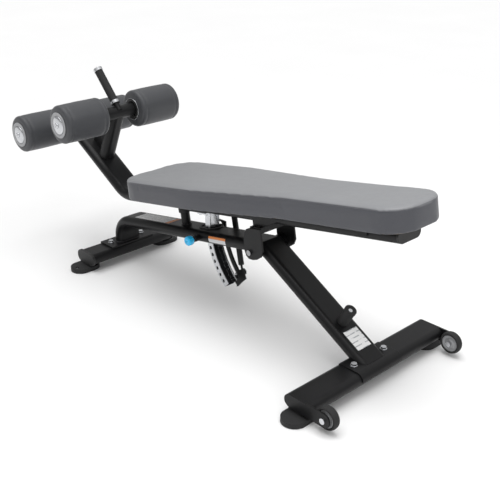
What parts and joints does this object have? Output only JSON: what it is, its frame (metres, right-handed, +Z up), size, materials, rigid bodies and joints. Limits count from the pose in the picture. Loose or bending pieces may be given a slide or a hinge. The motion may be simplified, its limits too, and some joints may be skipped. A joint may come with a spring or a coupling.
{
  "type": "adjustable weight bench",
  "caption": "Decline exercise bench: a padded board on a tilting rail with ankle rollers, held by a pull pin in a selector arc over a wheeled steel frame.",
  "frame": {"origin": "centre of the footprint on the floor", "axes": "+X along the bench toward the head end of the pad, +Y toward the side of the gas strut, +Z up"},
  "size_m": [1.7183, 0.7059, 0.7183],
  "materials": {
    "frame_paint": "satin black powder coat",
    "black_plastic": "matt moulded black plastic",
    "grey_plastic": "light grey moulded plastic",
    "nylon": "plain nylon",
    "rubber": "matt black rubber",
    "tyre": "matt black solid tyre",
    "bright_steel": "bright zinc and chrome plate",
    "strut_black": "gloss black paint",
    "blue_knob": "glossy blue moulded plastic",
    "label_print": "printed film",
    "vinyl": "soft grained grey vinyl",
    "plywood": "plain plywood",
    "foam": "soft closed-cell foam"
  },
  "bodies": {
    "base": {"front_stabilizer": "frame_paint", "front_end_caps": "black_plastic", "front_feet": "rubber", "foot_screws": "bright_steel", "main_beam": "frame_paint", "beam_flange_plate": "frame_paint", "frame_bolts": "bright_steel", "stop_post": "frame_paint", "stop_post_cap": "rubber", "slot_grommet": "black_plastic", "pin_housing": "frame_paint", "pin_spring": "bright_steel", "rear_leg": "frame_paint", "hub_tube": "frame_paint", "hub_bushes": "nylon", "leg_saddle": "frame_paint", "rear_stabilizer": "frame_paint", "rear_end_plates": "frame_paint", "rear_feet": "rubber", "wheel_axle_bolts": "bright_steel", "bumper": "rubber", "bumper_screw": "bright_steel", "arc_guide_plate": "frame_paint", "strut_lower_pin": "bright_steel", "labels": "label_print"},
    "pull_pin": {"pin_shaft": "bright_steel", "pin_knob": "blue_knob"},
    "wheel_near": {"wheel_tyre_near": "tyre", "wheel_hub_near": "grey_plastic"},
    "wheel_far": {"wheel_tyre_far": "tyre", "wheel_hub_far": "grey_plastic"},
    "bench_top": {"top_rail": "frame_paint", "rail_end_cap": "black_plastic", "pivot_frame": "frame_paint", "hub_spindle": "bright_steel", "hub_end_bolts": "bright_steel", "selector_arc": "bright_steel", "arc_spacer_block": "black_plastic", "arc_screws": "bright_steel", "guide_pin": "bright_steel", "strut_bracket": "frame_paint", "cross_tubes": "frame_paint", "roller_inner_rings": "bright_steel", "roller_end_discs": "bright_steel", "roller_end_bolts": "bright_steel", "roller_upright": "frame_paint", "handle_rod": "frame_paint", "handle_grip": "rubber", "grip_ends": "bright_steel", "pad_board": "plywood", "pad_cushion": "vinyl", "pad_mounts": "frame_paint", "pad_screws": "bright_steel"},
    "strut_cylinder_body": {"strut_cylinder": "strut_black"},
    "strut_rod_body": {"strut_rod": "strut_black"},
    "roller_up_near_body": {"roller_up_near": "foam"},
    "roller_up_far_body": {"roller_up_far": "foam"},
    "roller_low_near_body": {"roller_low_near": "foam"},
    "roller_low_far_body": {"roller_low_far": "foam"}
  },
  "joints": [
    {"name": "tilt", "type": "hinge", "parent": "base", "child": "bench_top", "pos_m": [0.273, 0, 0.289], "axis": [0, 1, 0], "range_deg": [0, 39]},
    {"name": "pin_pull", "type": "slide", "parent": "base", "child": "pull_pin", "axis": [0, -1, 0], "range_m": [-0.006, 0.004], "stiffness_N_per_m": 400, "springref_m": -0.008},
    {"name": "strut_swing", "type": "hinge", "parent": "bench_top", "child": "strut_cylinder_body", "pos_m": [0.03965, 0.066, 0.34354], "axis": [0, 1, 0], "range_deg": [-22, 0]},
    {"name": "strut_extend", "type": "slide", "parent": "strut_cylinder_body", "child": "strut_rod_body", "axis": [0.1975, 0, -0.9803], "range_m": [0, 0.1355]},
    {"name": "wheel_near_spin", "type": "hinge", "parent": "base", "child": "wheel_near", "pos_m": [0.7957, -0.284, 0.0451], "axis": [0, 1, 0], "continuous": true},
    {"name": "wheel_far_spin", "type": "hinge", "parent": "base", "child": "wheel_far", "pos_m": [0.7957, 0.284, 0.0451], "axis": [0, 1, 0], "continuous": true},
    {"name": "roller_up_near_spin", "type": "hinge", "parent": "bench_top", "child": "roller_up_near_body", "pos_m": [-0.50823, -0.15675, 0.56502], "axis": [0, 1, 0], "continuous": true},
    {"name": "roller_up_far_spin", "type": "hinge", "parent": "bench_top", "child": "roller_up_far_body", "pos_m": [-0.50823, 0.15675, 0.56502], "axis": [0, 1, 0], "continuous": true},
    {"name": "roller_low_near_spin", "type": "hinge", "parent": "bench_top", "child": "roller_low_near_body", "pos_m": [-0.79193, -0.15675, 0.47028], "axis": [0, 1, 0], "continuous": true},
    {"name": "roller_low_far_spin", "type": "hinge", "parent": "bench_top", "child": "roller_low_far_body", "pos_m": [-0.79193, 0.15675, 0.47028], "axis": [0, 1, 0], "continuous": true}
  ],
  "couplings": [
    {"joint": "strut_swing", "follows": "tilt", "ratio": -0.55641},
    {"joint": "strut_extend", "follows": "tilt", "m_per_rad": 0.1984}
  ]
}
